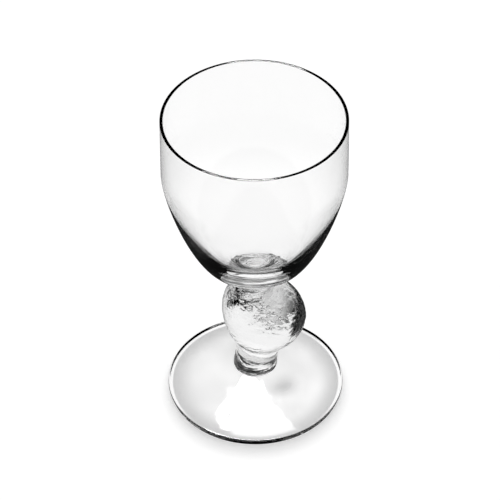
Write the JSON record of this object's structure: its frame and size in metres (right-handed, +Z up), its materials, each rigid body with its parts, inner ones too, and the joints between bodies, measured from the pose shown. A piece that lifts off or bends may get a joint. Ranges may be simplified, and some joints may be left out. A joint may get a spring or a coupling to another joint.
{
  "type": "white wine glass",
  "caption": "Stemmed clear glass wine goblet: thin round bowl with a fire-polished rim, solid ball knop with an ice texture that leans to one side, and a spread foot hollowed underneath.",
  "frame": {"origin": "centre of the flat ring that the foot rests on, at the bottom of the glass", "axes": "+Z up along the glass's axis from the foot to the rim, +X towards the side that the knop's ball leans to"},
  "size_m": [0.0724, 0.0724, 0.1427],
  "materials": {
    "bowl_glass": "clear, blown and fire-polished",
    "knop_glass": "clear, ice textured by its mould",
    "foot_glass": "clear, spread and fire-polished"
  },
  "bodies": {
    "root": {"bowl": "bowl_glass", "knop": "knop_glass", "foot": "foot_glass"}
  },
  "joints": []
}
